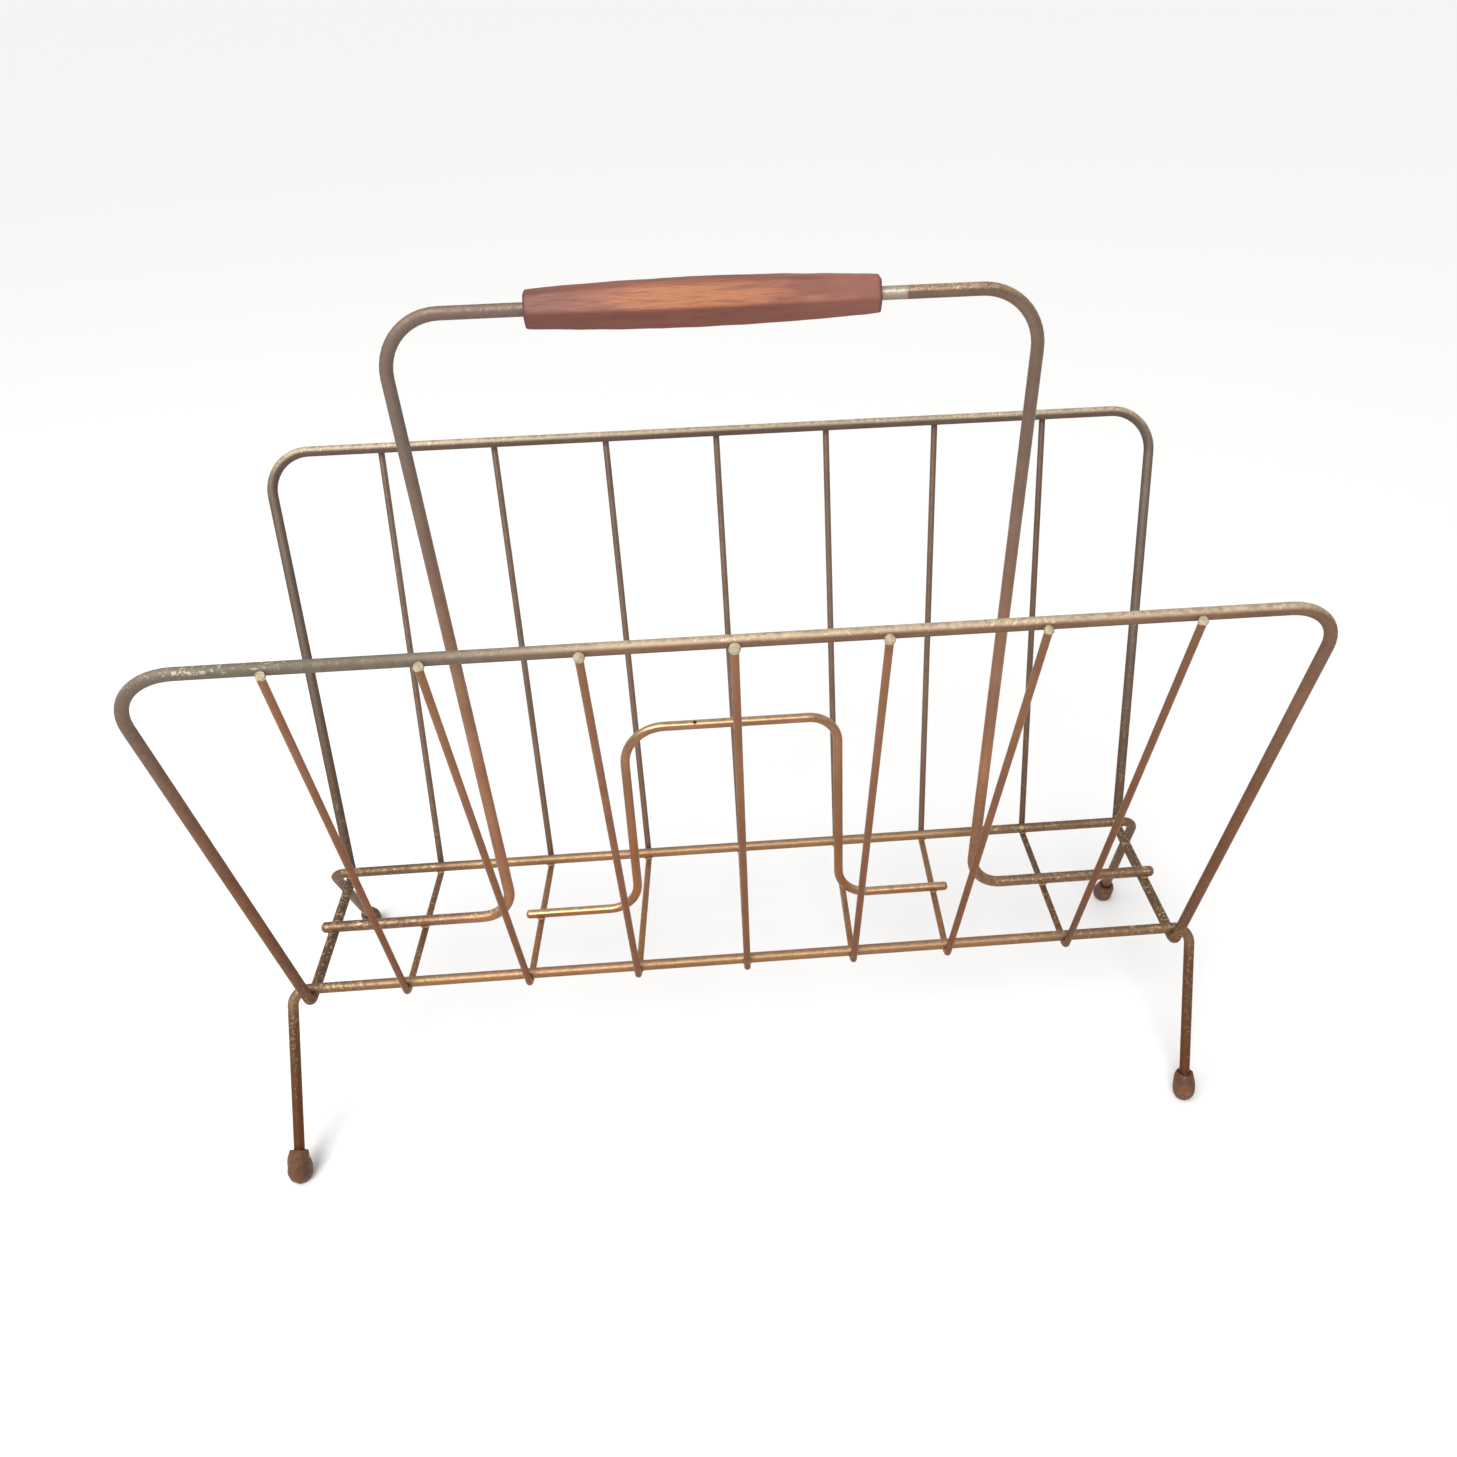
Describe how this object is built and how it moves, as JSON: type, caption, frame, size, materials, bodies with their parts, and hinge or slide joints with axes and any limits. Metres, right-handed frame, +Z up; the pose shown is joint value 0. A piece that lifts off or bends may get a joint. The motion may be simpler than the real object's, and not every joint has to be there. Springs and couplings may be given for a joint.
{
  "type": "magazine rack",
  "caption": "Free-standing wire magazine rack: V-shaped ribbed basket on splayed legs, low divider hoop, tall carry handle with a hexagonal wooden grip.",
  "frame": {"origin": "on the floor, under the middle of the rack", "axes": "+X along the rack towards its right end, +Y from front to back, +Z up"},
  "size_m": [0.4526, 0.238, 0.3929],
  "materials": {
    "frame_wire": "tarnished brass plating, speckled",
    "base_wire": "tarnished brass plating, browner towards the feet",
    "rib_wire": "tarnished brass plating, coppery",
    "handle_wire": "tarnished brass plating, bare beside the grip",
    "hoop_wire": "tarnished brass plating",
    "weld_bead": "bright solder",
    "grip_wood": "oiled reddish hardwood",
    "foot_cap": "aged brown, moulded"
  },
  "bodies": {
    "rack": {"front_bow": "frame_wire", "back_bow": "frame_wire", "front_base_wire": "base_wire", "back_base_wire": "base_wire", "rib_1": "rib_wire", "rib_2": "rib_wire", "rib_3": "rib_wire", "rib_4": "rib_wire", "rib_5": "rib_wire", "rib_6": "rib_wire", "rib_7": "rib_wire", "handle_rod": "handle_wire", "divider_hoop": "hoop_wire", "front_rim_beads": "weld_bead", "back_rim_beads": "weld_bead", "front_left_foot_cap": "foot_cap", "front_right_foot_cap": "foot_cap", "back_left_foot_cap": "foot_cap", "back_right_foot_cap": "foot_cap"},
    "grip": {"wooden_grip": "grip_wood"}
  },
  "joints": [
    {"name": "grip_spin", "type": "hinge", "parent": "rack", "child": "grip", "pos_m": [-0.0038, 0, 0.384], "axis": [1, 0, 0], "continuous": true}
  ]
}
